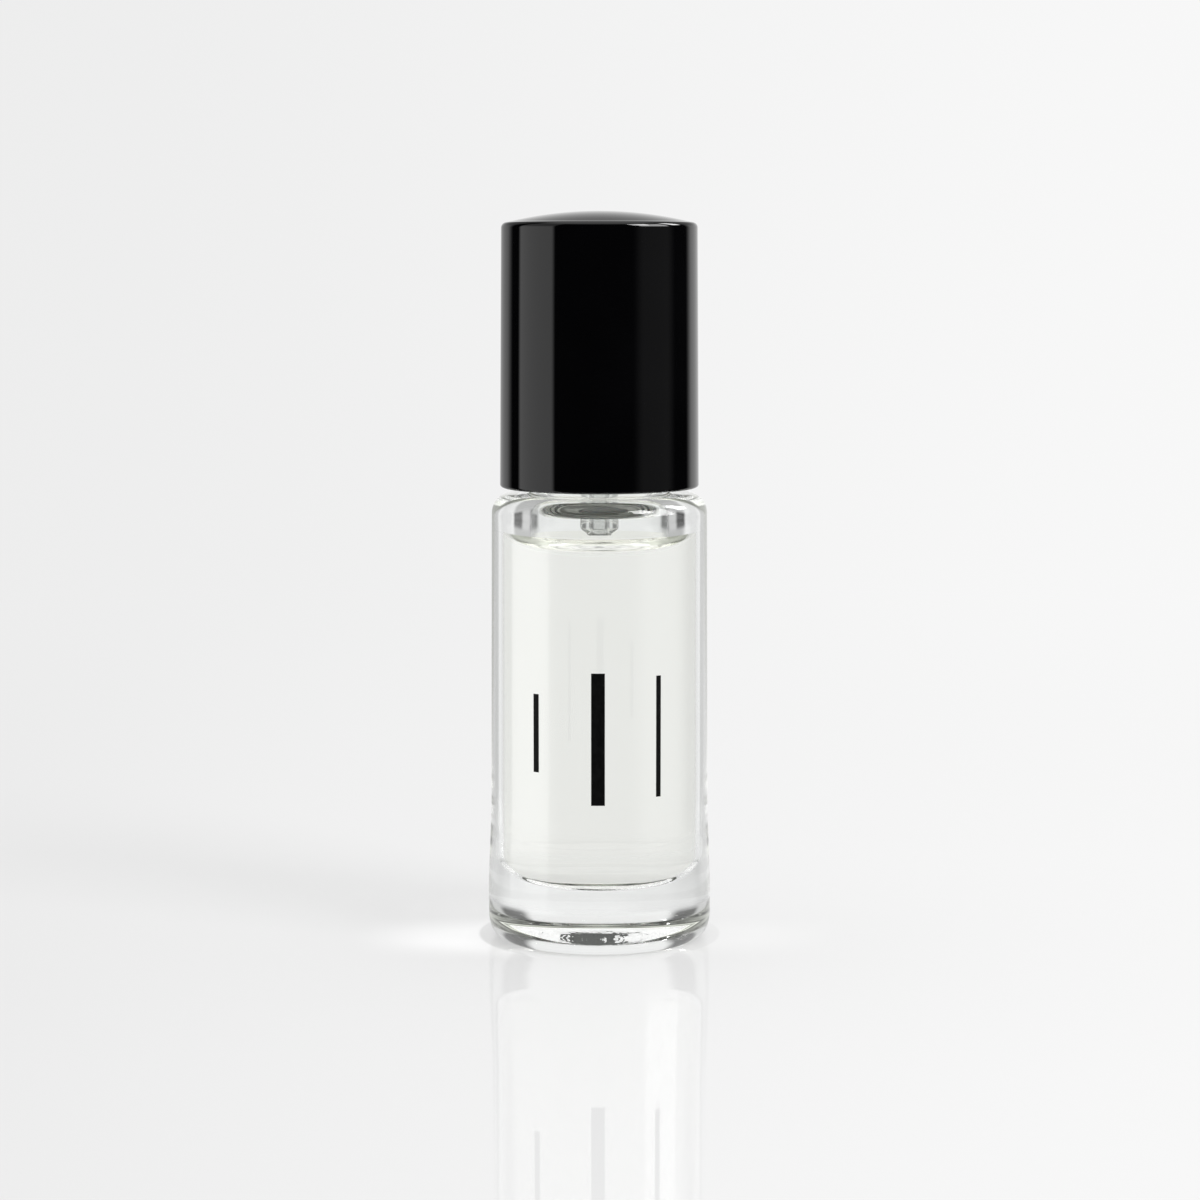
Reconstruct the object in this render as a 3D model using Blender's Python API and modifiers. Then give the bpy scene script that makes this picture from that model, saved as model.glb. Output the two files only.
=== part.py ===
"""Roll-on perfume oil bottle: thick glass, oil, roller fitment and a tall screw cap.

Units are metres, +Z is up. The origin is the centre of the base, on the surface it stands on.
All pieces are turned about the Z axis. The widths grow outwards from the ball: socket, plug,
neck, inner cap, outer cap. The heights stack from the base up to the dome of the cap.
"""

import math

import bmesh
import bpy
from mathutils import Matrix

MM = 0.001

# Clearances
SEAT_GAP = 0.3 * MM
BALL_GAP = 0.2 * MM
MERGE_DISTANCE = 0.002 * MM

# Glass body
BODY_RADIUS = 10.57 * MM
BODY_DRAFT = 0.14 * MM
BODY_HEIGHT = 43.35 * MM
BODY_WALL = 3.92 * MM
FLOOR_THICKNESS = 5.5 * MM
FLOOR_CROWN = 0.25 * MM
BORE_CORNER = 2.2 * MM
HEEL_FLARE = 0.3 * MM
HEEL_WIDTH = 1.3 * MM
HEEL_HEIGHT = 2.2 * MM
FLARE_START = 4.2 * MM
FLARE_LENGTH = 10.0 * MM
STANDING_RING_WIDTH = 0.8 * MM
PUSH_UP = 0.7 * MM
SHOULDER_FILLET = 1.85 * MM
SHOULDER_THICKNESS = 1.4 * MM
INNER_SHOULDER_HEIGHT = 0.65 * MM

# Glass neck
NECK_HEIGHT = 9.5 * MM
NECK_WALL = 1.4 * MM
NECK_ROOT_FILLET = 0.5 * MM
RIM_ROUNDING = 0.35 * MM

# Oil
FILL_GAP = 1.85 * MM

# Ball
BALL_RADIUS = 4.5 * MM
BALL_RISE = 2.2 * MM

# Roller housing
PLUG_WALL = 0.75 * MM
PLUG_RELIEF = 0.2 * MM
SNAP_RIB_HEIGHT = 0.7 * MM
SNAP_RIB_PITCH = 1.7 * MM
SNAP_RIB_COUNT = 3
FLANGE_WIDTH = 1.1 * MM
FLANGE_THICKNESS = 1.0 * MM
FLANGE_ROUNDING = 0.3 * MM
COLLAR_WALL = 0.9 * MM
LIP_WALL = 0.55 * MM
LIP_RISE = 1.9 * MM
LIP_ROUNDING = 0.2 * MM
WELL_DEPTH = 0.8 * MM
WEB_THICKNESS = 0.9 * MM
SKIRT_LENGTH = 4.6 * MM
SKIRT_WALL = 0.8 * MM
NOZZLE_RADIUS = 1.85 * MM
NOZZLE_TIP_RADIUS = 1.15 * MM
NOZZLE_BORE_RADIUS = 0.7 * MM
NOZZLE_DROP = 2.6 * MM
NOZZLE_TAPER = 1.0 * MM
FEED_SLOT_COUNT = 4
FEED_SLOT_WIDTH = 0.9 * MM
FEED_SLOT_DEPTH = 0.9 * MM

# Cap seal
SEAL_THICKNESS = 1.0 * MM
SEAL_WRAP = 0.9 * MM
SEAL_EDGE_ROUNDING = 0.2 * MM

# Inner cap
THREAD_ROOM = 0.7 * MM
LINER_WALL = 0.6 * MM
LINER_RECESS = 0.5 * MM
LINER_STEP_RISE = 0.6 * MM
COLLAR_ROOM = 0.6 * MM
LINER_EDGE_ROUNDING = 0.2 * MM
RIB_HEIGHT = 0.3 * MM
RIB_WIDTH = 0.7 * MM
RIB_COUNT = 12

# Outer cap
CAP_GAP = 0.6 * MM
CAP_WALL = 1.11 * MM
CAP_DRAFT = 0.19 * MM
CAP_SEAT_WIDTH = 0.6 * MM
CAP_HEADROOM = 6.2 * MM
CAP_TOP_THICKNESS = 1.4 * MM
CAP_INNER_FILLET = 1.0 * MM
CAP_TOP_FILLET = 0.55 * MM
CAP_BOTTOM_FILLET = 0.3 * MM
CAP_DOME_RISE = 1.07 * MM

# Facets
WIDE_STEPS = 48
NARROW_STEPS = 40
BALL_SEGMENTS = 32
BALL_RINGS = 18
CORNER_STEPS = 5
SMALL_CORNER_STEPS = 3
CURVE_STEPS = 6
SOCKET_STEPS = 8

# Shares
SOCKET_SEAT_SHARE = 0.8  # how far down the ball, towards its lowest point, the socket follows it
FILLET_LIMIT_SHARE = 0.45  # the most of a wall that one fillet may take

# Heights worked out from the stack
NECK_BOTTOM = BODY_HEIGHT - SHOULDER_THICKNESS
RIM_HEIGHT = BODY_HEIGHT + NECK_HEIGHT
FLANGE_BOTTOM = RIM_HEIGHT + SEAT_GAP
FLANGE_TOP = FLANGE_BOTTOM + FLANGE_THICKNESS
BALL_HEIGHT = RIM_HEIGHT + BALL_RISE
BALL_TOP = BALL_HEIGHT + BALL_RADIUS
NOZZLE_TIP = NECK_BOTTOM - NOZZLE_DROP
OIL_TOP = NOZZLE_TIP - FILL_GAP
WELL_FLOOR = BALL_HEIGHT - BALL_RADIUS - WELL_DEPTH
WEB_BOTTOM = WELL_FLOOR - WEB_THICKNESS
SKIRT_BOTTOM = WEB_BOTTOM - SKIRT_LENGTH
SEAL_BOTTOM = BALL_TOP + SEAT_GAP
SEAL_TOP = SEAL_BOTTOM + SEAL_THICKNESS
LINER_CEILING = SEAL_TOP + SEAT_GAP
LINER_TOP = LINER_CEILING + LINER_WALL
CAP_BOTTOM = BODY_HEIGHT + CAP_GAP
CAP_SEAT = LINER_TOP + SEAT_GAP
CAP_CEILING = LINER_TOP + CAP_HEADROOM
CAP_RIM = CAP_CEILING + CAP_TOP_THICKNESS

# Radii worked out from the ball outwards
SOCKET_RADIUS = BALL_RADIUS + BALL_GAP
PLUG_RADIUS = math.sqrt(SOCKET_RADIUS**2 - BALL_RISE**2) + PLUG_WALL
NECK_BORE_RADIUS = PLUG_RADIUS + SEAT_GAP
NECK_RADIUS = NECK_BORE_RADIUS + NECK_WALL
FLANGE_RADIUS = PLUG_RADIUS + FLANGE_WIDTH
COLLAR_RADIUS = SOCKET_RADIUS + COLLAR_WALL
LIP_INNER_RADIUS = math.sqrt(SOCKET_RADIUS**2 - LIP_RISE**2)
SEAT_DROP = BALL_RADIUS * SOCKET_SEAT_SHARE
SEAT_RADIUS = math.sqrt(SOCKET_RADIUS**2 - SEAT_DROP**2)
THREAD_BORE_RADIUS = NECK_RADIUS + THREAD_ROOM
LINER_RADIUS = THREAD_BORE_RADIUS + LINER_WALL
RIB_RADIUS = LINER_RADIUS + RIB_HEIGHT
CUP_BORE_RADIUS = COLLAR_RADIUS + COLLAR_ROOM
CUP_RADIUS = CUP_BORE_RADIUS + LINER_WALL
SEAL_RADIUS = CUP_BORE_RADIUS - SEAT_GAP
CAP_BORE_RADIUS = RIB_RADIUS + SEAT_GAP
CAP_RADIUS = CAP_BORE_RADIUS + CAP_WALL
BODY_BORE_RADIUS = BODY_RADIUS - BODY_WALL
SHOULDER_RADIUS = BODY_RADIUS - BODY_DRAFT


def clear_scene():
    """Start from an empty file."""
    for old in list(bpy.data.objects):
        bpy.data.objects.remove(old, do_unlink=True)


def new_collection(name):
    """Collection linked to the scene."""
    collection = bpy.data.collections.new(name)
    bpy.context.scene.collection.children.link(collection)
    return collection


def new_material(name, colour, roughness, metallic=0.0, transmission=0.0, index=1.5):
    """Principled material for one piece."""
    material = bpy.data.materials.new(name)
    material.use_nodes = True
    shader = material.node_tree.nodes["Principled BSDF"]
    shader.inputs["Base Color"].default_value = (*colour, 1.0)
    shader.inputs["Roughness"].default_value = roughness
    shader.inputs["Metallic"].default_value = metallic
    shader.inputs["Transmission Weight"].default_value = transmission
    shader.inputs["IOR"].default_value = index
    material.diffuse_color = (*colour, 1.0)
    return material


def rounded(before, corner, after, steps):
    """Points of a quarter ellipse that leaves one leg at before and joins the next at after."""
    centre = [b + a - c for b, c, a in zip(before, corner, after)]
    points = []
    for step in range(steps + 1):
        angle = math.pi / 2 * step / steps
        points.append(
            tuple(
                m + (b - m) * math.cos(angle) + (a - m) * math.sin(angle)
                for m, b, a in zip(centre, before, after)
            )
        )
    return points


def eased(start, end, steps):
    """Points of an S-curve between two places that is upright at both ends."""
    points = []
    for step in range(steps + 1):
        share = step / steps
        ease = share * share * (3 - 2 * share)
        points.append(
            (start[0] + (end[0] - start[0]) * ease, start[1] + (end[1] - start[1]) * share)
        )
    return points


def crowned(radius, edge_height, centre_height, steps):
    """Points of a shallow dome from the axis out to its edge."""
    points = []
    for step in range(steps + 1):
        share = step / steps
        rise = (centre_height - edge_height) * (1 - share * share)
        points.append((radius * share, edge_height + rise))
    return points


def sphere_points(radius, centre_height, start_height, end_height, steps):
    """Points on a sphere about the axis, between two heights measured from its centre."""
    start_angle = math.asin(start_height / radius)
    end_angle = math.asin(end_height / radius)
    points = []
    for step in range(steps + 1):
        angle = start_angle + (end_angle - start_angle) * step / steps
        points.append((radius * math.cos(angle), centre_height + radius * math.sin(angle)))
    return points


def turned(name, profile, steps, collection, material, base_height=0.0, closed=False):
    """Solid of revolution from a profile of radius and height that runs down its outer side."""
    mesh = bpy.data.meshes.new(name)
    vertices = [(radius, 0.0, height - base_height) for radius, height in profile]
    edges = [(index, index + 1) for index in range(len(vertices) - 1)]
    if closed:
        edges.append((len(vertices) - 1, 0))
    mesh.from_pydata(vertices, edges, [])
    mesh.materials.append(material)
    piece = bpy.data.objects.new(name, mesh)
    piece.location = (0.0, 0.0, base_height)
    collection.objects.link(piece)
    screw = piece.modifiers.new("Turn", "SCREW")
    screw.axis = "Z"
    screw.angle = 2 * math.pi
    screw.steps = steps
    screw.render_steps = steps
    screw.use_merge_vertices = True
    screw.merge_threshold = MERGE_DISTANCE
    screw.use_smooth_shade = True
    return piece


def radial_bars(name, collection, count, inner, outer, width, bottom, top):
    """Ring of upright bars that point away from the axis, kept as a guide for a Boolean."""
    shape = bmesh.new()
    size = Matrix.Diagonal((outer - inner, width, top - bottom, 1.0))
    place = Matrix.Translation(((inner + outer) / 2, 0.0, (bottom + top) / 2))
    for index in range(count):
        turn = Matrix.Rotation(2 * math.pi * (index + 0.5) / count, 4, "Z")
        bmesh.ops.create_cube(shape, size=1.0, matrix=turn @ place @ size)
    mesh = bpy.data.meshes.new(name)
    shape.to_mesh(mesh)
    shape.free()
    bars = bpy.data.objects.new(name, mesh)
    bars.hide_render = True
    bars.display_type = "WIRE"
    collection.objects.link(bars)
    return bars


def combine(piece, tool, operation):
    """Boolean between a piece and a guide."""
    boolean = piece.modifiers.new(tool.name, "BOOLEAN")
    boolean.operation = operation
    boolean.object = tool
    boolean.solver = "EXACT"


def limited(fillet, *walls):
    """A fillet, held to its share of the walls that it rounds."""
    return min(fillet, *(wall * FILLET_LIMIT_SHARE for wall in walls))


def glass_outside():
    """Outer side of the glass, from the rim of the neck down to the centre of the base."""
    rim = limited(RIM_ROUNDING, NECK_WALL)
    root = limited(NECK_ROOT_FILLET, SHOULDER_RADIUS - NECK_RADIUS)
    shoulder = limited(SHOULDER_FILLET, SHOULDER_RADIUS - NECK_RADIUS)
    heel_radius = BODY_RADIUS + HEEL_FLARE
    ring_outer = heel_radius - HEEL_WIDTH
    ring_inner = ring_outer - STANDING_RING_WIDTH
    points = rounded(
        (NECK_RADIUS - rim, RIM_HEIGHT),
        (NECK_RADIUS, RIM_HEIGHT),
        (NECK_RADIUS, RIM_HEIGHT - rim),
        SMALL_CORNER_STEPS,
    )
    points += rounded(
        (NECK_RADIUS, BODY_HEIGHT + root),
        (NECK_RADIUS, BODY_HEIGHT),
        (NECK_RADIUS + root, BODY_HEIGHT),
        SMALL_CORNER_STEPS,
    )
    points += rounded(
        (SHOULDER_RADIUS - shoulder, BODY_HEIGHT),
        (SHOULDER_RADIUS, BODY_HEIGHT),
        (SHOULDER_RADIUS, BODY_HEIGHT - shoulder),
        CORNER_STEPS,
    )
    points += eased(
        (BODY_RADIUS, FLARE_START + FLARE_LENGTH), (heel_radius, FLARE_START), CURVE_STEPS
    )
    points += rounded(
        (heel_radius, HEEL_HEIGHT), (heel_radius, 0.0), (ring_outer, 0.0), CORNER_STEPS
    )
    points += reversed(crowned(ring_inner, 0.0, PUSH_UP, CORNER_STEPS))
    return points


def glass_inside(inset=0.0):
    """Inner side of the glass, from the centre of the floor up to the neck's bore.

    The inset draws the line in from the glass, for what fills it.
    """
    bore = BODY_BORE_RADIUS - inset
    floor = FLOOR_THICKNESS + inset
    points = crowned(bore - BORE_CORNER, floor, floor + FLOOR_CROWN, SMALL_CORNER_STEPS)
    points += rounded(
        (bore - BORE_CORNER, floor), (bore, floor), (bore, floor + BORE_CORNER), CURVE_STEPS
    )[1:]
    return points


def build_glass_bottle(parts):
    """Heavy glass body and neck in one piece."""
    rim = limited(RIM_ROUNDING, NECK_WALL)
    profile = glass_inside()
    profile += eased(
        (BODY_BORE_RADIUS, NECK_BOTTOM - INNER_SHOULDER_HEIGHT),
        (NECK_BORE_RADIUS, NECK_BOTTOM),
        CURVE_STEPS,
    )
    profile += rounded(
        (NECK_BORE_RADIUS, RIM_HEIGHT - rim),
        (NECK_BORE_RADIUS, RIM_HEIGHT),
        (NECK_BORE_RADIUS + rim, RIM_HEIGHT),
        SMALL_CORNER_STEPS,
    )
    profile += glass_outside()
    glass = new_material("clear_glass", (0.96, 0.98, 0.97), 0.02, transmission=1.0, index=1.52)
    return turned("glass_bottle", profile, WIDE_STEPS, parts, glass)


def build_perfume_oil(parts):
    """The fill, clear of the glass all round."""
    bore = BODY_BORE_RADIUS - SEAT_GAP
    profile = [(0.0, OIL_TOP), (bore, OIL_TOP)]
    profile += reversed(glass_inside(SEAT_GAP))
    oil = new_material("pale_oil", (0.93, 0.94, 0.80), 0.0, transmission=1.0, index=1.46)
    return turned("perfume_oil", profile, NARROW_STEPS, parts, oil, base_height=FLOOR_THICKNESS)


def housing_outside():
    """Outer side of the roller housing, from its lip down to the tip of the nozzle."""
    lip = limited(LIP_ROUNDING, LIP_WALL)
    lip_radius = LIP_INNER_RADIUS + LIP_WALL
    lip_height = BALL_HEIGHT + LIP_RISE
    edge = limited(FLANGE_ROUNDING, FLANGE_THICKNESS, FLANGE_WIDTH)
    points = rounded(
        (lip_radius - lip, lip_height),
        (lip_radius, lip_height),
        (lip_radius, lip_height - lip),
        SMALL_CORNER_STEPS,
    )
    points += [(COLLAR_RADIUS, BALL_HEIGHT), (COLLAR_RADIUS, FLANGE_TOP)]
    points += rounded(
        (FLANGE_RADIUS - edge, FLANGE_TOP),
        (FLANGE_RADIUS, FLANGE_TOP),
        (FLANGE_RADIUS, FLANGE_TOP - edge),
        SMALL_CORNER_STEPS,
    )
    relieved = PLUG_RADIUS - PLUG_RELIEF
    points += [(FLANGE_RADIUS, FLANGE_BOTTOM), (relieved, FLANGE_BOTTOM)]
    for index in range(SNAP_RIB_COUNT):
        top = FLANGE_BOTTOM - (index + 1) * SNAP_RIB_PITCH
        points += [(relieved, top), (PLUG_RADIUS, top - PLUG_RELIEF)]
        points += [(PLUG_RADIUS, top - SNAP_RIB_HEIGHT + PLUG_RELIEF)]
        points += [(relieved, top - SNAP_RIB_HEIGHT)]
    points += [(relieved, SKIRT_BOTTOM), (relieved - SKIRT_WALL, SKIRT_BOTTOM)]
    points += [(relieved - SKIRT_WALL, WEB_BOTTOM), (NOZZLE_RADIUS, WEB_BOTTOM)]
    points += eased(
        (NOZZLE_RADIUS, NOZZLE_TIP + NOZZLE_TAPER), (NOZZLE_TIP_RADIUS, NOZZLE_TIP), CORNER_STEPS
    )
    return points


def housing_inside():
    """Inner side of the roller housing, from the tip of the nozzle up to the lip."""
    points = [(NOZZLE_BORE_RADIUS, NOZZLE_TIP), (NOZZLE_BORE_RADIUS, WELL_FLOOR)]
    points += [(SEAT_RADIUS, WELL_FLOOR)]
    points += sphere_points(SOCKET_RADIUS, BALL_HEIGHT, -SEAT_DROP, LIP_RISE, SOCKET_STEPS)
    return points


def build_roller_housing(parts, guides):
    """Plug, socket, snap-in lip and nozzle, with feed slots in the seat under the ball."""
    profile = housing_outside() + housing_inside()
    natural = new_material("natural_polyethylene", (0.86, 0.87, 0.86), 0.38)
    housing = turned(
        "roller_housing", profile, NARROW_STEPS, parts, natural, base_height=FLANGE_BOTTOM, closed=True
    )
    slots = radial_bars(
        "feed_slots",
        guides,
        FEED_SLOT_COUNT,
        NOZZLE_BORE_RADIUS,
        SEAT_RADIUS + FEED_SLOT_DEPTH,
        FEED_SLOT_WIDTH,
        WELL_FLOOR + SEAT_GAP,
        BALL_HEIGHT,
    )
    combine(housing, slots, "DIFFERENCE")
    return housing


def build_roller_ball(parts):
    """Steel ball, with its origin at its centre."""
    bpy.ops.mesh.primitive_uv_sphere_add(
        segments=BALL_SEGMENTS,
        ring_count=BALL_RINGS,
        radius=BALL_RADIUS,
        location=(0.0, 0.0, BALL_HEIGHT),
    )
    ball = bpy.context.object
    ball.name = "roller_ball"
    ball.data.name = "roller_ball"
    for owner in list(ball.users_collection):
        owner.objects.unlink(ball)
    parts.objects.link(ball)
    ball.data.materials.append(new_material("polished_steel", (0.74, 0.74, 0.75), 0.06, metallic=1.0))
    ball.data.shade_smooth()
    return ball


def build_cap_seal(parts):
    """Soft disc whose hollow underside fits the top of the ball."""
    hollow = BALL_RADIUS + SEAT_GAP
    edge = limited(SEAL_EDGE_ROUNDING, SEAL_THICKNESS)
    rim_bottom = SEAL_BOTTOM - SEAL_WRAP
    profile = [(0.0, SEAL_TOP)]
    profile += rounded(
        (SEAL_RADIUS - edge, SEAL_TOP),
        (SEAL_RADIUS, SEAL_TOP),
        (SEAL_RADIUS, SEAL_TOP - edge),
        SMALL_CORNER_STEPS,
    )
    profile += [(SEAL_RADIUS, rim_bottom)]
    profile += sphere_points(hollow, BALL_HEIGHT, hollow - SEAL_WRAP, hollow, CORNER_STEPS)
    soft = new_material("soft_white", (0.85, 0.85, 0.83), 0.6)
    return turned("cap_seal", profile, NARROW_STEPS, parts, soft, base_height=SEAL_BOTTOM)


def build_cap_liner(parts, guides):
    """Inner cap: a wide skirt round the neck's thread and a narrow cup that holds the seal."""
    step_height = FLANGE_TOP + LINER_STEP_RISE
    bottom = CAP_BOTTOM + LINER_RECESS
    edge = limited(LINER_EDGE_ROUNDING, LINER_WALL)
    profile = [(0.0, LINER_TOP)]
    profile += rounded(
        (CUP_RADIUS - edge, LINER_TOP),
        (CUP_RADIUS, LINER_TOP),
        (CUP_RADIUS, LINER_TOP - edge),
        SMALL_CORNER_STEPS,
    )
    profile += [(CUP_RADIUS, step_height + LINER_WALL), (LINER_RADIUS, step_height + LINER_WALL)]
    profile += [(LINER_RADIUS, bottom), (THREAD_BORE_RADIUS, bottom)]
    profile += [(THREAD_BORE_RADIUS, step_height), (CUP_BORE_RADIUS, step_height)]
    profile += [(CUP_BORE_RADIUS, LINER_CEILING), (0.0, LINER_CEILING)]
    white = new_material("white_polypropylene", (0.88, 0.88, 0.87), 0.4)
    liner = turned("cap_liner", profile, WIDE_STEPS, parts, white, base_height=CAP_BOTTOM)
    skirt_ribs = radial_bars(
        "skirt_ribs",
        guides,
        RIB_COUNT,
        LINER_RADIUS - LINER_WALL / 2,
        RIB_RADIUS,
        RIB_WIDTH,
        bottom + LINER_WALL,
        step_height - LINER_WALL,
    )
    cup_fins = radial_bars(
        "cup_fins",
        guides,
        RIB_COUNT,
        CUP_RADIUS - LINER_WALL / 2,
        RIB_RADIUS,
        RIB_WIDTH,
        step_height + LINER_WALL / 2,
        LINER_TOP - edge,
    )
    combine(liner, skirt_ribs, "UNION")
    combine(liner, cup_fins, "UNION")
    return liner


def build_cap_shell(parts):
    """Outer cap with a low dome and an inner step that the inner cap seats against."""
    top_radius = CAP_RADIUS - CAP_DRAFT
    top_edge = limited(CAP_TOP_FILLET, CAP_WALL + CAP_SEAT_WIDTH)
    foot = limited(CAP_BOTTOM_FILLET, CAP_WALL)
    upper_bore = CAP_BORE_RADIUS - CAP_SEAT_WIDTH
    inner_fillet = limited(CAP_INNER_FILLET, CAP_HEADROOM)
    profile = crowned(top_radius - top_edge, CAP_RIM, CAP_RIM + CAP_DOME_RISE, CURVE_STEPS)
    profile += rounded(
        (top_radius - top_edge, CAP_RIM),
        (top_radius, CAP_RIM),
        (top_radius, CAP_RIM - top_edge),
        CORNER_STEPS,
    )[1:]
    profile += rounded(
        (CAP_RADIUS, CAP_BOTTOM + foot),
        (CAP_RADIUS, CAP_BOTTOM),
        (CAP_RADIUS - foot, CAP_BOTTOM),
        SMALL_CORNER_STEPS,
    )
    profile += [(CAP_BORE_RADIUS, CAP_BOTTOM), (CAP_BORE_RADIUS, CAP_SEAT), (upper_bore, CAP_SEAT)]
    profile += rounded(
        (upper_bore, CAP_CEILING - inner_fillet),
        (upper_bore, CAP_CEILING),
        (upper_bore - inner_fillet, CAP_CEILING),
        SMALL_CORNER_STEPS,
    )
    profile += [(0.0, CAP_CEILING)]
    black = new_material("gloss_black", (0.006, 0.006, 0.007), 0.06)
    return turned("cap_shell", profile, WIDE_STEPS, parts, black, base_height=CAP_BOTTOM)


def main():
    """Build every piece of the bottle."""
    clear_scene()
    parts = new_collection("perfume_oil_bottle")
    guides = new_collection("cutters")
    build_glass_bottle(parts)
    build_perfume_oil(parts)
    build_roller_housing(parts, guides)
    build_roller_ball(parts)
    build_cap_seal(parts)
    build_cap_liner(parts, guides)
    build_cap_shell(parts)


main()
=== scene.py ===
"""Looks of the roll-on perfume oil bottle: thick clear glass, pale oil, roller fitment, gloss cap.

Lengths are metres. The round pieces are half a profile, spun about the bottle's axis. The ball is
a rounded cube, and the ink rules are cut from a cylinder.
"""

import math

import bpy
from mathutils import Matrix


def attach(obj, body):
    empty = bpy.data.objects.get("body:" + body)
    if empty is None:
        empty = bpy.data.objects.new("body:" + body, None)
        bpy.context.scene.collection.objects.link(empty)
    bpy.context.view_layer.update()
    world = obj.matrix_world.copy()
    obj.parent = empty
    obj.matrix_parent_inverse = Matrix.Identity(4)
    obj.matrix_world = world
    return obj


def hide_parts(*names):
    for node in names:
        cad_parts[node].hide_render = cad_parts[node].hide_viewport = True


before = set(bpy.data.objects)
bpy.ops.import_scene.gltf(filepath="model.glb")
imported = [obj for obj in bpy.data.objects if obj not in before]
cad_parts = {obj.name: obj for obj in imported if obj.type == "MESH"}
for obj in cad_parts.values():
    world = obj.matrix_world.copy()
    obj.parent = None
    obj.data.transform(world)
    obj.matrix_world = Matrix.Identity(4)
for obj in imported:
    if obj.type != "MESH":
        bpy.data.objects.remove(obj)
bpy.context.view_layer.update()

MM = 0.001
TURN = 2 * math.pi

# Sides of the round pieces and steps of their curves
GLASS_SIDES = 192
FITMENT_SIDES = 128
INK_SIDES = 768
CORNER_STEPS = 10
SMALL_STEPS = 5
CURVE_STEPS = 16

# Making
SEED_SIZE = 0.1 * MM
WELD = 0.001 * MM
SMOOTH_ANGLE = math.radians(35)
BAR_OFFSET_SHARE = 0.5

# Clearances
SEAT_GAP = 0.3 * MM
BALL_GAP = 0.2 * MM
WETTING_GAP = 0.004 * MM

# Refraction
GLASS_INDEX = 1.52
OIL_INDEX = 1.41
NATURAL_INDEX = 1.5

# Glass body
BODY_RADIUS = 10.57 * MM
BODY_DRAFT = 0.14 * MM
BODY_HEIGHT = 43.35 * MM
BODY_WALL = 3.92 * MM
FLOOR_THICKNESS = 5.5 * MM
FLOOR_CROWN = 0.25 * MM
BORE_CORNER = 2.2 * MM
HEEL_FLARE = 0.3 * MM
HEEL_WIDTH = 1.3 * MM
HEEL_HEIGHT = 2.2 * MM
FLARE_START = 4.2 * MM
FLARE_LENGTH = 10.0 * MM
STANDING_RING_WIDTH = 0.8 * MM
PUSH_UP = 0.7 * MM
SHOULDER_FILLET = 1.85 * MM
SHOULDER_THICKNESS = 1.4 * MM
INNER_SHOULDER_HEIGHT = 0.65 * MM

# Glass neck
NECK_HEIGHT = 9.5 * MM
NECK_WALL = 1.4 * MM
NECK_ROOT_FILLET = 0.5 * MM
RIM_ROUNDING = 0.35 * MM

# Thread
THREAD_PITCH = 3.0 * MM
THREAD_TURNS = 1.25
THREAD_DEPTH = 0.5 * MM
THREAD_WIDTH = 1.2 * MM
THREAD_BITE = 0.2 * MM
THREAD_START = 46.0 * MM
THREAD_STEPS = 64
THREAD_CREST_SHARE = 0.45
THREAD_FADE_STEPS = 8

# Oil
FILL_GAP = 1.85 * MM
CAPILLARY_LENGTH = 1.75 * MM
CONTACT_ANGLE = math.radians(20)
MENISCUS_FOOT = 0.01 * MM
MENISCUS_STEPS = 28

# Ball and roller housing
BALL_RADIUS = 4.5 * MM
BALL_RISE = 2.2 * MM
BALL_CUTS = 23
SEAT_DROP = 3.6 * MM
PLUG_WALL = 0.75 * MM
PLUG_RELIEF = 0.2 * MM
SNAP_RIB_HEIGHT = 0.7 * MM
SNAP_RIB_PITCH = 1.7 * MM
SNAP_RIB_COUNT = 3
FLANGE_WIDTH = 1.1 * MM
FLANGE_THICKNESS = 1.0 * MM
FLANGE_ROUNDING = 0.3 * MM
COLLAR_WALL = 0.9 * MM
LIP_WALL = 0.55 * MM
LIP_RISE = 1.9 * MM
LIP_ROUNDING = 0.2 * MM
WELL_DEPTH = 0.8 * MM
WEB_THICKNESS = 0.9 * MM
SKIRT_LENGTH = 4.6 * MM
SKIRT_WALL = 0.8 * MM
NOZZLE_RADIUS = 1.85 * MM
NOZZLE_TIP_RADIUS = 1.15 * MM
NOZZLE_BORE_RADIUS = 0.7 * MM
NOZZLE_DROP = 2.6 * MM
NOZZLE_TAPER = 1.0 * MM
FEED_SLOT_COUNT = 4
FEED_SLOT_WIDTH = 0.9 * MM
FEED_SLOT_DEPTH = 0.9 * MM

# Cap
SEAL_THICKNESS = 1.0 * MM
SEAL_WRAP = 0.9 * MM
SEAL_EDGE_ROUNDING = 0.2 * MM
THREAD_ROOM = 0.7 * MM
LINER_WALL = 0.6 * MM
LINER_RECESS = 0.5 * MM
LINER_STEP_RISE = 0.6 * MM
COLLAR_ROOM = 0.6 * MM
LINER_EDGE_ROUNDING = 0.2 * MM
RIB_HEIGHT = 0.3 * MM
RIB_WIDTH = 0.7 * MM
RIB_COUNT = 12
CAP_GAP = 0.6 * MM
CAP_WALL = 1.11 * MM
CAP_DRAFT = 0.19 * MM
CAP_SEAT_WIDTH = 0.6 * MM
CAP_HEADROOM = 6.2 * MM
CAP_TOP_THICKNESS = 1.4 * MM
CAP_INNER_FILLET = 1.0 * MM
CAP_TOP_FILLET = 0.55 * MM
CAP_BOTTOM_FILLET = 0.3 * MM
CAP_DOME_RISE = 1.07 * MM

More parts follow.
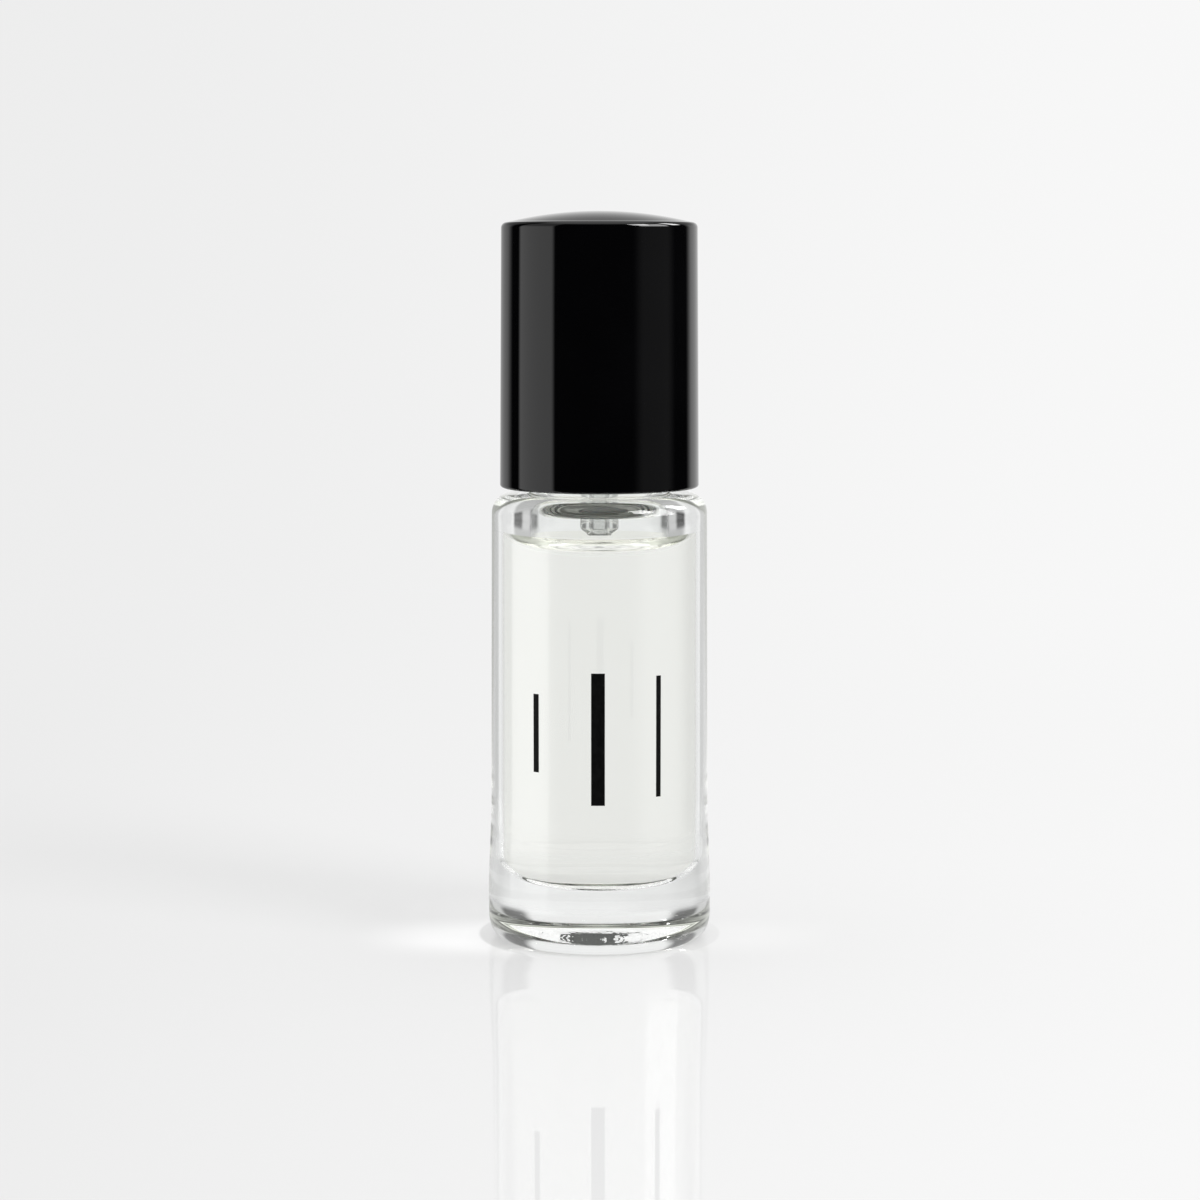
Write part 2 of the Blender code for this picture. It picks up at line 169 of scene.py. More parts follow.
# Heights and radii worked out from the sizes above
NECK_BOTTOM = BODY_HEIGHT - SHOULDER_THICKNESS
RIM_HEIGHT = BODY_HEIGHT + NECK_HEIGHT
FLANGE_BOTTOM = RIM_HEIGHT + SEAT_GAP
FLANGE_TOP = FLANGE_BOTTOM + FLANGE_THICKNESS
BALL_HEIGHT = RIM_HEIGHT + BALL_RISE
NOZZLE_TIP = NECK_BOTTOM - NOZZLE_DROP
OIL_TOP = NOZZLE_TIP - FILL_GAP
WELL_FLOOR = BALL_HEIGHT - BALL_RADIUS - WELL_DEPTH
WEB_BOTTOM = WELL_FLOOR - WEB_THICKNESS
SKIRT_BOTTOM = WEB_BOTTOM - SKIRT_LENGTH
SEAL_BOTTOM = BALL_HEIGHT + BALL_RADIUS + SEAT_GAP
SEAL_TOP = SEAL_BOTTOM + SEAL_THICKNESS
LINER_CEILING = SEAL_TOP + SEAT_GAP
LINER_TOP = LINER_CEILING + LINER_WALL
CAP_BOTTOM = BODY_HEIGHT + CAP_GAP
CAP_SEAT = LINER_TOP + SEAT_GAP
CAP_CEILING = LINER_TOP + CAP_HEADROOM
CAP_RIM = CAP_CEILING + CAP_TOP_THICKNESS
SOCKET_RADIUS = BALL_RADIUS + BALL_GAP
SEAT_RADIUS = math.sqrt(SOCKET_RADIUS**2 - SEAT_DROP**2)
PLUG_RADIUS = math.sqrt(SOCKET_RADIUS**2 - BALL_RISE**2) + PLUG_WALL
NECK_BORE_RADIUS = PLUG_RADIUS + SEAT_GAP
NECK_RADIUS = NECK_BORE_RADIUS + NECK_WALL
FLANGE_RADIUS = PLUG_RADIUS + FLANGE_WIDTH
COLLAR_RADIUS = SOCKET_RADIUS + COLLAR_WALL
LIP_INNER_RADIUS = math.sqrt(SOCKET_RADIUS**2 - LIP_RISE**2)
THREAD_BORE_RADIUS = NECK_RADIUS + THREAD_ROOM
LINER_RADIUS = THREAD_BORE_RADIUS + LINER_WALL
RIB_RADIUS = LINER_RADIUS + RIB_HEIGHT
CUP_BORE_RADIUS = COLLAR_RADIUS + COLLAR_ROOM
CUP_RADIUS = CUP_BORE_RADIUS + LINER_WALL
SEAL_RADIUS = CUP_BORE_RADIUS - SEAT_GAP
CAP_BORE_RADIUS = RIB_RADIUS + SEAT_GAP
CAP_RADIUS = CAP_BORE_RADIUS + CAP_WALL
BORE_RADIUS = BODY_RADIUS - BODY_WALL
HEEL_RADIUS = BODY_RADIUS + HEEL_FLARE
RING_OUTER_RADIUS = HEEL_RADIUS - HEEL_WIDTH
RING_INNER_RADIUS = RING_OUTER_RADIUS - STANDING_RING_WIDTH
RELIEVED_RADIUS = PLUG_RADIUS - PLUG_RELIEF
LINER_BOTTOM = CAP_BOTTOM + LINER_RECESS
LINER_STEP = FLANGE_TOP + LINER_STEP_RISE
MENISCUS_RISE = CAPILLARY_LENGTH * math.sqrt(2 - 2 * math.sin(CONTACT_ANGLE))
SHOULDER_RADIUS = BODY_RADIUS - BODY_DRAFT

# Ink rules on the front of the glass by their middle, width, lowest and highest point
INK_THICKNESS = 0.02 * MM
INK_RULES = (
    (-6.0 * MM, 0.35 * MM, 17.5 * MM, 25.0 * MM),
    (-0.1 * MM, 1.2 * MM, 14.6 * MM, 27.2 * MM),
    (5.6 * MM, 0.35 * MM, 15.2 * MM, 26.8 * MM),
)

# What the finishes have in common
TONE_SPREAD_SHARES = (0.35, 0.65)
RELIEF_DETAIL = 2.0
PLAIN_GLOSS = 0.5
HAZE_DEPTH = 0.5 * MM

# Finishes by two close tones, least and most roughness, and scale and height of the relief
OIL_TINT = (0.97, 0.971, 0.943)
OIL_SURFACE_TINT = (0.955, 0.957, 0.905)
OIL_DRIFT = 0.004
OIL_RELIEF = (120.0, 0.0)
GLASS_TONES = ((0.975, 0.985, 0.978), (0.98, 0.99, 0.983))
GLASS_RELIEF = (260.0, 0.0012 * MM)
WETTED_TONES = (OIL_TINT, (0.975, 0.976, 0.95))
WETTED_RELIEF = (260.0, 0.0)
NATURAL_TONES = ((0.93, 0.94, 0.93), (0.96, 0.97, 0.96))
NATURAL_ROUGHNESS = (0.05, 0.12)
NATURAL_RELIEF = (700.0, 0.004 * MM)
NATURAL_CLEAR_SHARE = 0.9
STEEL_TONES = ((0.60, 0.60, 0.61), (0.68, 0.68, 0.69))
STEEL_ROUGHNESS = (0.03, 0.09)
STEEL_RELIEF = (900.0, 0.0006 * MM)
STEEL_DETAIL = 6.0
SOFT_TONES = ((0.80, 0.80, 0.78), (0.86, 0.86, 0.84))
SOFT_ROUGHNESS = (0.5, 0.65)
SOFT_RELIEF = (900.0, 0.01 * MM)
SOFT_HAZE_SHARE = 0.1
WHITE_TONES = ((0.82, 0.82, 0.81), (0.88, 0.88, 0.87))
WHITE_ROUGHNESS = (0.32, 0.45)
WHITE_RELIEF = (700.0, 0.004 * MM)
WHITE_HAZE_SHARE = 0.15
BLACK_TONES = ((0.0006, 0.0006, 0.0008), (0.0012, 0.0012, 0.0015))
BLACK_ROUGHNESS = (0.03, 0.05)
BLACK_RELIEF = (90.0, 0.0008 * MM)
INK_TONES = ((0.002, 0.002, 0.002), (0.004, 0.004, 0.004))
INK_ROUGHNESS = (0.4, 0.55)
INK_RELIEF = (2500.0, 0.002 * MM)
INK_GLOSS = 0.12

# Places of the added finishes among those of the glass and the oil
WETTED_PLACE = 1
STIPPLED_PLACE = 2
AGAINST_GLASS_PLACE = 1

# Least upward part of the normal on the oil's free surface
UPWARD_SHARE = 0.01

# Stippled hollow under the base, with a painted dark shade patch and a painted glow
STIPPLE_PAINTED_TONES = ((0.07, 0.075, 0.07), (1.0, 1.0, 1.0))
STIPPLE_RELIEF = (4000.0, 0.05 * MM)
STIPPLE_ROUGHNESS = 0.25
STIPPLE_CLEAR_SHARE = 0.05
STIPPLE_PAINTED_GLOW = 0.5
PATCH_RADIUS = 2.3 * MM
PATCH_SCALE = 700.0
PATCH_DETAIL = 3.0
PATCH_RAGGED = 2.5
PATCH_FIT_SHARE = 0.5
PATCH_EDGE_SHARES = (0.42, 0.56)

# Painted glow on the glass for light still inside after many bounces: the bounces over which it
# fades in, and its level at some heights
TRAPPED_FROM = 3
TRAPPED_TO = 4
TRAPPED_HEIGHT_SHARES = (0.0, 0.1, 0.2, 0.85, 0.95)
TRAPPED_GLOW_LEVELS = (0.6, 0.65, 0.33, 0.33, 0.14)
TRAPPED_GLOW_TINT = (0.97, 1.0, 0.9)

# Camera
CAMERA_DISTANCE = 284.7 * MM
CAMERA_HEIGHT = 66.36 * MM
CAMERA_SIDE = 0.06 * MM
CAMERA_PITCH = math.radians(6.7)
CAMERA_LENS = 88.5
CAMERA_SENSOR = 36.0
NEAREST_SEEN = 5 * MM

# Key lamp
KEY_ENERGY = 0.9
KEY_SIZE = 160 * MM
KEY_PLACE = (286 * MM, -208 * MM, 354 * MM)
KEY_TILT = math.radians(45)
KEY_TURN = math.radians(54)

# Panels of the room by their left and right edge and softness in degrees, and their level
GLOSS_DARK = 0.006
GLOSS_PANELS = (
    (-12, 52, 8, 0.9),
    (-52, -12, 8, 0.6),
    (-125, -74, 3, 1.15),
    (88, 134, 8, 0.14),
)
GLASS_DARK = 0.12
GLASS_PANELS = (
    (-44, 44, 8, 0.38),
    (-31, 31, 6, 0.38),
    (14, 40, 4, 0.07),
    (-26, -11, 4, 0.04),
    (94, 210, 8, 0.76),
    (-210, -94, 8, 0.76),
)
ROOM_PANELS = (
    (-30, 30, 4, 0.76),
    (51, 69, 4, 0.5),
    (-69, -51, 4, 0.5),
    (100, 210, 8, 0.76),
    (-210, -100, 8, 0.76),
)

# Softboxes by their left and right edge in degrees, lowest and highest sine, and level
SOFTBOXES = (
    (90, 130, 0.25, 0.7, 7.0),
    (60, 76, 0.45, 0.75, 14.0),
)
SOFTBOX_SOFT = 3
SOFTBOX_SOFT_SHARE = 0.05

# Changes of level over the sine of an angle, by start, end, and level before and after
PAPER_SPAN = (-0.225, 0.225, 0.85, 0.935)
GLOSS_FADE = (0.1, 0.46, 1.0, 0.4)
OVERHEAD_SPAN = (0.75, 0.9, 0.0, 1.0)

# Horizon and table as the glass shows them
HORIZON_SOFT_SHARE = 0.06
TABLE_SEEN_LEVEL = 0.52

# Table
FLOOR_SIZE = 6000 * MM
FLOOR_DROP = 0.02 * MM
TABLE_TONE = 0.87
TABLE_ROUGHNESS = 0.015
TABLE_GLOSS = 1.0
SPILL_CREST = 12.0 * MM

# Changes of level across the table, by start, end, and level before and after
TABLE_PAPER_SPAN = (30 * MM, 300 * MM, 0.45, 1.0)
TABLE_SEEN_SPAN = (14 * MM, 50 * MM, 0.0, 1.0)
# Painted pool of light that the glass throws on the table round its base, mostly on the left
SPILL_RIM = (11.6 * MM, SPILL_CREST, 0.0, 0.35)
SPILL_REST = (SPILL_CREST, 25.0 * MM, 1.0, 0.0)
SPILL_FRONT = (-12.0 * MM, -3.0 * MM, 0.0, 1.0)
SPILL_BACK = (-1.0 * MM, 8.0 * MM, 1.0, 0.15)
SPILL_ACROSS = (-12.0 * MM, 12.0 * MM, 1.3, 0.35)


def deselect():
    """Leave nothing selected."""
    bpy.ops.object.select_all(action="DESELECT")


def corner(before, turn, after, steps):
    """Points of a quarter ellipse that leaves one leg at before and joins the next at after."""
    centre = [b + a - c for b, c, a in zip(before, turn, after)]
    points = []
    for step in range(steps + 1):
        angle = TURN / 4 * step / steps
        points.append(
            tuple(
                m + (b - m) * math.cos(angle) + (a - m) * math.sin(angle)
                for m, b, a in zip(centre, before, after)
            )
        )
    return points


def outer_edge(radius, top, rounding, steps):
    """Points of the rounded edge between the top of a round form and its side."""
    return corner((radius - rounding, top), (radius, top), (radius, top - rounding), steps)


def eased(start, end, steps):
    """Points of an S-curve between two places that is upright at both ends."""
    points = []
    for step in range(steps + 1):
        share = step / steps
        ease = share * share * (3 - 2 * share)
        points.append(
            (start[0] + (end[0] - start[0]) * ease, start[1] + (end[1] - start[1]) * share)
        )
    return points


def crowned(radius, edge_height, centre_height, steps):
    """Points of a shallow dome from the axis out to its edge."""
    points = []
    for step in range(steps + 1):
        share = step / steps
        rise = (centre_height - edge_height) * (1 - share * share)
        points.append((radius * share, edge_height + rise))
    return points


def on_sphere(radius, centre_height, start_height, end_height, steps):
    """Points on a sphere about the axis, between two heights measured from its centre."""
    start_angle = math.asin(start_height / radius)
    end_angle = math.asin(end_height / radius)
    points = []
    for step in range(steps + 1):
        angle = start_angle + (end_angle - start_angle) * step / steps
        points.append((radius * math.cos(angle), centre_height + radius * math.sin(angle)))
    return points


def spun(name, profile, sides, closed=False):
    """Draw half a profile by extruding one corner along it, then spin it about the axis."""
    deselect()
    bpy.ops.mesh.primitive_plane_add(size=SEED_SIZE, location=(profile[0][0], 0.0, profile[0][1]))
    piece = bpy.context.object
    piece.name = name
    piece.data.name = name
    bpy.ops.object.transform_apply(location=True, rotation=True, scale=True)
    bpy.ops.object.mode_set(mode="EDIT")
    bpy.ops.mesh.select_all(action="SELECT")
    bpy.ops.mesh.merge(type="CENTER")
    route = list(profile)
    if closed:
        route.append(route[0])
    for (radius, height), (next_radius, next_height) in zip(route, route[1:]):
        move = (next_radius - radius, 0.0, next_height - height)
        bpy.ops.mesh.extrude_region_move(TRANSFORM_OT_translate={"value": move})
    bpy.ops.mesh.select_all(action="SELECT")
    bpy.ops.mesh.remove_doubles(threshold=WELD)
    bpy.ops.mesh.spin(steps=sides, angle=TURN, center=(0.0, 0.0, 0.0), axis=(0.0, 0.0, 1.0))
    bpy.ops.mesh.select_all(action="SELECT")
    bpy.ops.mesh.remove_doubles(threshold=WELD)
    bpy.ops.mesh.normals_make_consistent(inside=False)
    bpy.ops.object.mode_set(mode="OBJECT")
    return piece


def finish_surface(piece):
    """Round surfaces smooth, real edges sharp."""
    deselect()
    piece.select_set(True)
    bpy.context.view_layer.objects.active = piece
    bpy.ops.object.shade_smooth_by_angle(angle=SMOOTH_ANGLE)


def combine(piece, tool, operation):
    """Join a tool to a piece, or cut it out, and throw the tool away."""
    boolean = piece.modifiers.new("combine", "BOOLEAN")
    boolean.operation = operation
    boolean.object = tool
    boolean.solver = "EXACT"
    bpy.context.view_layer.objects.active = piece
    bpy.ops.object.modifier_apply(modifier=boolean.name)
    bpy.data.objects.remove(tool, do_unlink=True)


def radial_bars(name, count, inner, outer, width, bottom, top):
    """Ring of upright bars that point away from the axis, as one object."""
    bars = []
    for index in range(count):
        angle = TURN * (index + BAR_OFFSET_SHARE) / count
        middle = (inner + outer) / 2
        deselect()
        bpy.ops.mesh.primitive_cube_add(
            size=1.0,
            location=(middle * math.cos(angle), middle * math.sin(angle), (bottom + top) / 2),
            rotation=(0.0, 0.0, angle),
            scale=(outer - inner, width, top - bottom),
        )
        bars.append(bpy.context.object)
    for bar in bars:
        bar.select_set(True)
    bpy.context.view_layer.objects.active = bars[0]
    bpy.ops.object.join()
    bars[0].name = name
    bpy.ops.object.transform_apply(location=True, rotation=True, scale=True)
    return bars[0]


def thread_outline(name, radius, depth, start_height):
    """Upright outline of a thread's ridge, narrowed to its crest, and the corners on the crest."""
    bite = math.copysign(THREAD_BITE, depth)
    deselect()
    bpy.ops.mesh.primitive_plane_add(
        size=1.0,
        location=(radius + (depth - bite) / 2, 0.0, start_height),
        rotation=(TURN / 4, 0.0, 0.0),
    )
    ridge = bpy.context.object
    ridge.name = name
    ridge.data.name = name
    ridge.scale = (abs(depth) + THREAD_BITE, THREAD_WIDTH, 1.0)
    bpy.ops.object.transform_apply(location=True, rotation=True, scale=True)
    crest = [
        corner_point.index
        for corner_point in ridge.data.vertices
        if abs(corner_point.co.x - radius - depth) < WELD
    ]
    for index in crest:
        point = ridge.data.vertices[index].co
        point.z = start_height + (point.z - start_height) * THREAD_CREST_SHARE
    return ridge, crest


def wind_thread(ridge):
    """Turn an outline into a helix about the axis and give the number of its steps."""
    screw = ridge.modifiers.new("thread", "SCREW")
    screw.axis = "Z"
    screw.angle = TURN * THREAD_TURNS
    screw.screw_offset = THREAD_PITCH * THREAD_TURNS
    screw.steps = int(THREAD_STEPS * THREAD_TURNS)
    screw.render_steps = screw.steps
    steps = screw.steps
    bpy.ops.object.modifier_apply(modifier=screw.name)
    return steps


def fade_thread_ends(ridge, crest, corners, steps, radius, depth):
    """Sink the crest into the wall over the first and last steps of the helix."""
    half_bite = math.copysign(THREAD_BITE, depth) / 2
    for step in range(THREAD_FADE_STEPS):
        share = step / THREAD_FADE_STEPS
        faded = radius - half_bite + (depth + half_bite) * math.sin(TURN / 4 * share)
        for ring in (step, steps - step):
            for index in crest:
                point = ridge.data.vertices[ring * corners + index].co
                size = math.hypot(point.x, point.y)
                point.x *= faded / size
                point.y *= faded / size


def thread_ridge(name, radius, depth, start_height):
    """Helical ridge whose crest stands off a wall, fading out at both ends.

    A positive depth stands outwards from a neck, a negative one inwards from a bore.
    """
    ridge, crest = thread_outline(name, radius, depth, start_height)
    corners = len(ridge.data.vertices)
    steps = wind_thread(ridge)
    fade_thread_ends(ridge, crest, corners, steps, radius, depth)
    bpy.ops.object.mode_set(mode="EDIT")
    bpy.ops.mesh.select_mode(type="VERT")
    bpy.ops.mesh.select_all(action="SELECT")
    bpy.ops.mesh.fill_holes(sides=corners)
    bpy.ops.mesh.select_all(action="SELECT")
    bpy.ops.mesh.normals_make_consistent(inside=False)
    bpy.ops.object.mode_set(mode="OBJECT")
    return ridge


def glass_floor_line(inset):
    """Inner line of the glass from the centre of the floor to the top of the bore's corner."""
    bore = BORE_RADIUS - inset
    floor = FLOOR_THICKNESS + inset
    flat = bore - BORE_CORNER
    points = crowned(flat, floor, floor + FLOOR_CROWN, CURVE_STEPS)
    points += corner((flat, floor), (bore, floor), (bore, floor + BORE_CORNER), CURVE_STEPS)[1:]
    return points


def glass_neck_line():
    """Line of the glass over the rim, down the neck and out round the shoulder."""
    points = corner(
        (NECK_BORE_RADIUS, RIM_HEIGHT - RIM_ROUNDING),
        (NECK_BORE_RADIUS, RIM_HEIGHT),
        (NECK_BORE_RADIUS + RIM_ROUNDING, RIM_HEIGHT),
        SMALL_STEPS,
    )
    points += outer_edge(NECK_RADIUS, RIM_HEIGHT, RIM_ROUNDING, SMALL_STEPS)
    points += corner(
        (NECK_RADIUS, BODY_HEIGHT + NECK_ROOT_FILLET),
        (NECK_RADIUS, BODY_HEIGHT),
        (NECK_RADIUS + NECK_ROOT_FILLET, BODY_HEIGHT),
        SMALL_STEPS,
    )
    points += outer_edge(SHOULDER_RADIUS, BODY_HEIGHT, SHOULDER_FILLET, CORNER_STEPS)
    return points


def glass_heel_line():
    """Line of the glass down the flared heel, over the standing ring and into the hollow."""
    points = eased(
        (BODY_RADIUS, FLARE_START + FLARE_LENGTH), (HEEL_RADIUS, FLARE_START), CURVE_STEPS
    )
    points += corner(
        (HEEL_RADIUS, HEEL_HEIGHT), (HEEL_RADIUS, 0.0), (RING_OUTER_RADIUS, 0.0), CORNER_STEPS
    )
    points += reversed(crowned(RING_INNER_RADIUS, 0.0, PUSH_UP, CURVE_STEPS))
    return points


def make_glass_bottle():
    """Heavy glass body with its thread on the neck."""
    profile = glass_floor_line(0.0)
    profile += [(BORE_RADIUS, OIL_TOP + MENISCUS_RISE)]
    profile += eased(
        (BORE_RADIUS, NECK_BOTTOM - INNER_SHOULDER_HEIGHT),
        (NECK_BORE_RADIUS, NECK_BOTTOM),
        CURVE_STEPS,
    )
    profile += glass_neck_line()
    profile += glass_heel_line()
    bottle = spun("glass_bottle_clear", profile, GLASS_SIDES)
    combine(bottle, thread_ridge("neck_thread", NECK_RADIUS, THREAD_DEPTH, THREAD_START), "UNION")
    finish_surface(bottle)
    return bottle


def distance_from_wall(rise):
    """How far from an upright wall a wetting liquid stands this much above its level."""
    across = 2 * CAPILLARY_LENGTH

    def run(height):
        slope = math.sqrt(across * across - height * height)
        return CAPILLARY_LENGTH * math.acosh(across / height) - slope

    return run(rise) - run(MENISCUS_RISE)


def make_perfume_oil():
    """Oil that wets the glass, with its surface curving up at the wall."""
    bore = BORE_RADIUS - WETTING_GAP
    profile = [(0.0, OIL_TOP)]
    for step in range(MENISCUS_STEPS + 1):
        rise = MENISCUS_RISE * (MENISCUS_FOOT / MENISCUS_RISE) ** (1 - step / MENISCUS_STEPS)
        radius = bore - distance_from_wall(rise)
        if radius > 0:
            profile.append((radius, OIL_TOP + rise))
    profile += reversed(glass_floor_line(WETTING_GAP))
    oil = spun("perfume_oil_fill", profile, GLASS_SIDES)
    finish_surface(oil)
    return oil


def housing_collar_line():
    """Line down the outside of the housing's lip and collar and round its flange."""
    lip_radius = LIP_INNER_RADIUS + LIP_WALL
    lip_height = BALL_HEIGHT + LIP_RISE
    points = outer_edge(lip_radius, lip_height, LIP_ROUNDING, SMALL_STEPS)
    points += eased(
        (lip_radius + LIP_ROUNDING, lip_height - LIP_ROUNDING * 2),
        (COLLAR_RADIUS, BALL_HEIGHT),
        SMALL_STEPS,
    )
    points += [(COLLAR_RADIUS, FLANGE_TOP)]
    points += outer_edge(FLANGE_RADIUS, FLANGE_TOP, FLANGE_ROUNDING, SMALL_STEPS)
    points += [(FLANGE_RADIUS, FLANGE_BOTTOM)]
    return points


def housing_plug_line():
    """Line down the plug's snap ribs, under its skirt and up inside it."""
    points = [(RELIEVED_RADIUS, FLANGE_BOTTOM)]
    for index in range(SNAP_RIB_COUNT):
        top = FLANGE_BOTTOM - (index + 1) * SNAP_RIB_PITCH
        points += [(RELIEVED_RADIUS, top), (PLUG_RADIUS, top - PLUG_RELIEF)]
        points += [(PLUG_RADIUS, top - SNAP_RIB_HEIGHT + PLUG_RELIEF)]
        points += [(RELIEVED_RADIUS, top - SNAP_RIB_HEIGHT)]
    points += [(RELIEVED_RADIUS, SKIRT_BOTTOM), (RELIEVED_RADIUS - SKIRT_WALL, SKIRT_BOTTOM)]
    points += [(RELIEVED_RADIUS - SKIRT_WALL, WEB_BOTTOM)]
    return points


def housing_nozzle_line():
    """Line down the outside of the nozzle and up its bore to the floor of the socket."""
    points = [(NOZZLE_RADIUS, WEB_BOTTOM)]
    points += eased(
        (NOZZLE_RADIUS, NOZZLE_TIP + NOZZLE_TAPER), (NOZZLE_TIP_RADIUS, NOZZLE_TIP), CORNER_STEPS
    )
    points += [(NOZZLE_BORE_RADIUS, NOZZLE_TIP), (NOZZLE_BORE_RADIUS, WELL_FLOOR)]
    return points


def make_roller_housing():
    """Plug, socket, lip and nozzle, with feed slots under the ball."""
    profile = housing_collar_line()
    profile += housing_plug_line()
    profile += housing_nozzle_line()
    profile += [(SEAT_RADIUS, WELL_FLOOR)]
    profile += on_sphere(SOCKET_RADIUS, BALL_HEIGHT, -SEAT_DROP, LIP_RISE, CURVE_STEPS)
    housing = spun("roller_housing_moulded", profile, FITMENT_SIDES, closed=True)
    slots = radial_bars(
        "feed_slots",
        FEED_SLOT_COUNT,
        NOZZLE_BORE_RADIUS,
        SEAT_RADIUS + FEED_SLOT_DEPTH,
        FEED_SLOT_WIDTH,
        WELL_FLOOR + SEAT_GAP,
        BALL_HEIGHT,
    )
    combine(housing, slots, "DIFFERENCE")
    finish_surface(housing)
    return housing


def make_roller_ball():
    """Steel ball of even facets, made by rounding a finely cut cube."""
    deselect()
    bpy.ops.mesh.primitive_cube_add(size=2 * BALL_RADIUS, location=(0.0, 0.0, BALL_HEIGHT))
    ball = bpy.context.object
    ball.name = "roller_ball_polished"
    ball.data.name = "roller_ball_polished"
    bpy.ops.object.mode_set(mode="EDIT")
    bpy.ops.mesh.select_all(action="SELECT")
    bpy.ops.mesh.subdivide(number_cuts=BALL_CUTS)
    bpy.ops.mesh.select_all(action="SELECT")
    bpy.ops.transform.tosphere(value=1.0)
    bpy.ops.object.mode_set(mode="OBJECT")
    for point in ball.data.vertices:
        point.co *= BALL_RADIUS / point.co.length
    bpy.ops.object.transform_apply(location=True, rotation=True, scale=True)
    finish_surface(ball)
    return ball


def make_cap_seal():
    """Soft disc whose hollow underside fits the top of the ball."""
    hollow = BALL_RADIUS + SEAT_GAP
    profile = [(0.0, SEAL_TOP)]
    profile += outer_edge(SEAL_RADIUS, SEAL_TOP, SEAL_EDGE_ROUNDING, SMALL_STEPS)
    profile += [(SEAL_RADIUS, SEAL_BOTTOM - SEAL_WRAP)]
    profile += on_sphere(hollow, BALL_HEIGHT, hollow - SEAL_WRAP, hollow, CURVE_STEPS)
    seal = spun("cap_seal_disc", profile, FITMENT_SIDES)
    finish_surface(seal)
    return seal


def cap_liner_line():
    """Line of the inner cap: cup over the ball, step, and skirt round the neck."""
    points = [(0.0, LINER_TOP)]
    points += outer_edge(CUP_RADIUS, LINER_TOP, LINER_EDGE_ROUNDING, SMALL_STEPS)
    points += [(CUP_RADIUS, LINER_STEP + LINER_WALL), (LINER_RADIUS, LINER_STEP + LINER_WALL)]
    points += [(LINER_RADIUS, LINER_BOTTOM), (THREAD_BORE_RADIUS, LINER_BOTTOM)]
    points += [(THREAD_BORE_RADIUS, LINER_STEP), (CUP_BORE_RADIUS, LINER_STEP)]
    points += [(CUP_BORE_RADIUS, LINER_CEILING), (0.0, LINER_CEILING)]
    return points


def stand_ribs(liner, name, wall_radius, bottom, top):
    """Ring of ribs from a wall of the inner cap out to the bore of the outer one."""
    root = wall_radius - LINER_WALL / 2
    ribs = radial_bars(name, RIB_COUNT, root, RIB_RADIUS, RIB_WIDTH, bottom, top)
    combine(liner, ribs, "UNION")


def make_cap_liner():
    """Inner cap with its thread, ribs and fins."""
    liner = spun("cap_liner_moulded", cap_liner_line(), FITMENT_SIDES)
    start = THREAD_START + THREAD_PITCH / 2
    ridge = thread_ridge("liner_thread", THREAD_BORE_RADIUS, -THREAD_DEPTH, start)
    combine(liner, ridge, "UNION")
    skirt_top = LINER_STEP - LINER_WALL
    stand_ribs(liner, "skirt_ribs", LINER_RADIUS, LINER_BOTTOM + LINER_WALL, skirt_top)
    fin_top = LINER_TOP - LINER_EDGE_ROUNDING
    stand_ribs(liner, "cup_fins", CUP_RADIUS, LINER_STEP + LINER_WALL / 2, fin_top)
    finish_surface(liner)
    return liner


def make_cap_shell():
    """Gloss outer cap with a low dome."""
    top_radius = CAP_RADIUS - CAP_DRAFT
    dome_radius = top_radius - CAP_TOP_FILLET
    upper_bore = CAP_BORE_RADIUS - CAP_SEAT_WIDTH
    profile = crowned(dome_radius, CAP_RIM, CAP_RIM + CAP_DOME_RISE, CURVE_STEPS)
    profile += outer_edge(top_radius, CAP_RIM, CAP_TOP_FILLET, CORNER_STEPS)[1:]
    profile += corner(
        (CAP_RADIUS, CAP_BOTTOM + CAP_BOTTOM_FILLET),
        (CAP_RADIUS, CAP_BOTTOM),
        (CAP_RADIUS - CAP_BOTTOM_FILLET, CAP_BOTTOM),
        CORNER_STEPS,
    )
    profile += [(CAP_BORE_RADIUS, CAP_BOTTOM), (CAP_BORE_RADIUS, CAP_SEAT), (upper_bore, CAP_SEAT)]
    profile += corner(
        (upper_bore, CAP_CEILING - CAP_INNER_FILLET),
        (upper_bore, CAP_CEILING),
        (upper_bore - CAP_INNER_FILLET, CAP_CEILING),
        SMALL_STEPS,
    )
    profile += [(0.0, CAP_CEILING)]
    shell = spun("cap_shell_gloss", profile, GLASS_SIDES)
    finish_surface(shell)
    return shell


def make_ink_rule(name, middle, width, lowest, highest):
    """Thin printed rule that follows the round front of the glass."""
    deselect()
    bpy.ops.mesh.primitive_cylinder_add(
        vertices=INK_SIDES,
        radius=BODY_RADIUS + INK_THICKNESS / 2,
        depth=highest - lowest,
        end_fill_type="NOTHING",
        location=(0.0, 0.0, (highest + lowest) / 2),
    )
    rule = bpy.context.object
    rule.name = name
    rule.data.name = name
    bpy.ops.object.transform_apply(location=True, rotation=True, scale=True)
    bpy.ops.object.mode_set(mode="EDIT")
    cuts = (
        ((middle - width / 2, 0.0, 0.0), (-1.0, 0.0, 0.0)),
        ((middle + width / 2, 0.0, 0.0), (1.0, 0.0, 0.0)),
        ((0.0, 0.0, 0.0), (0.0, 1.0, 0.0)),
    )
    for place, outward in cuts:
        bpy.ops.mesh.select_all(action="SELECT")
        bpy.ops.mesh.bisect(plane_co=place, plane_no=outward, clear_outer=True)
    bpy.ops.object.mode_set(mode="OBJECT")
    solidify = rule.modifiers.new("ink film", "SOLIDIFY")
    solidify.thickness = INK_THICKNESS / 2
    solidify.offset = 1.0
    bpy.ops.object.modifier_apply(modifier=solidify.name)
    finish_surface(rule)
    return rule


def new_finish(name):
    """Material with its output and its Principled shader."""
    material = bpy.data.materials.new(name)
    material.use_nodes = True
    nodes = material.node_tree.nodes
    return material, nodes, material.node_tree.links, nodes["Principled BSDF"]


def object_place(nodes):
    """Place on the piece, in the frame of the whole bottle."""
    return nodes.new("ShaderNodeTexCoord").outputs["Object"]


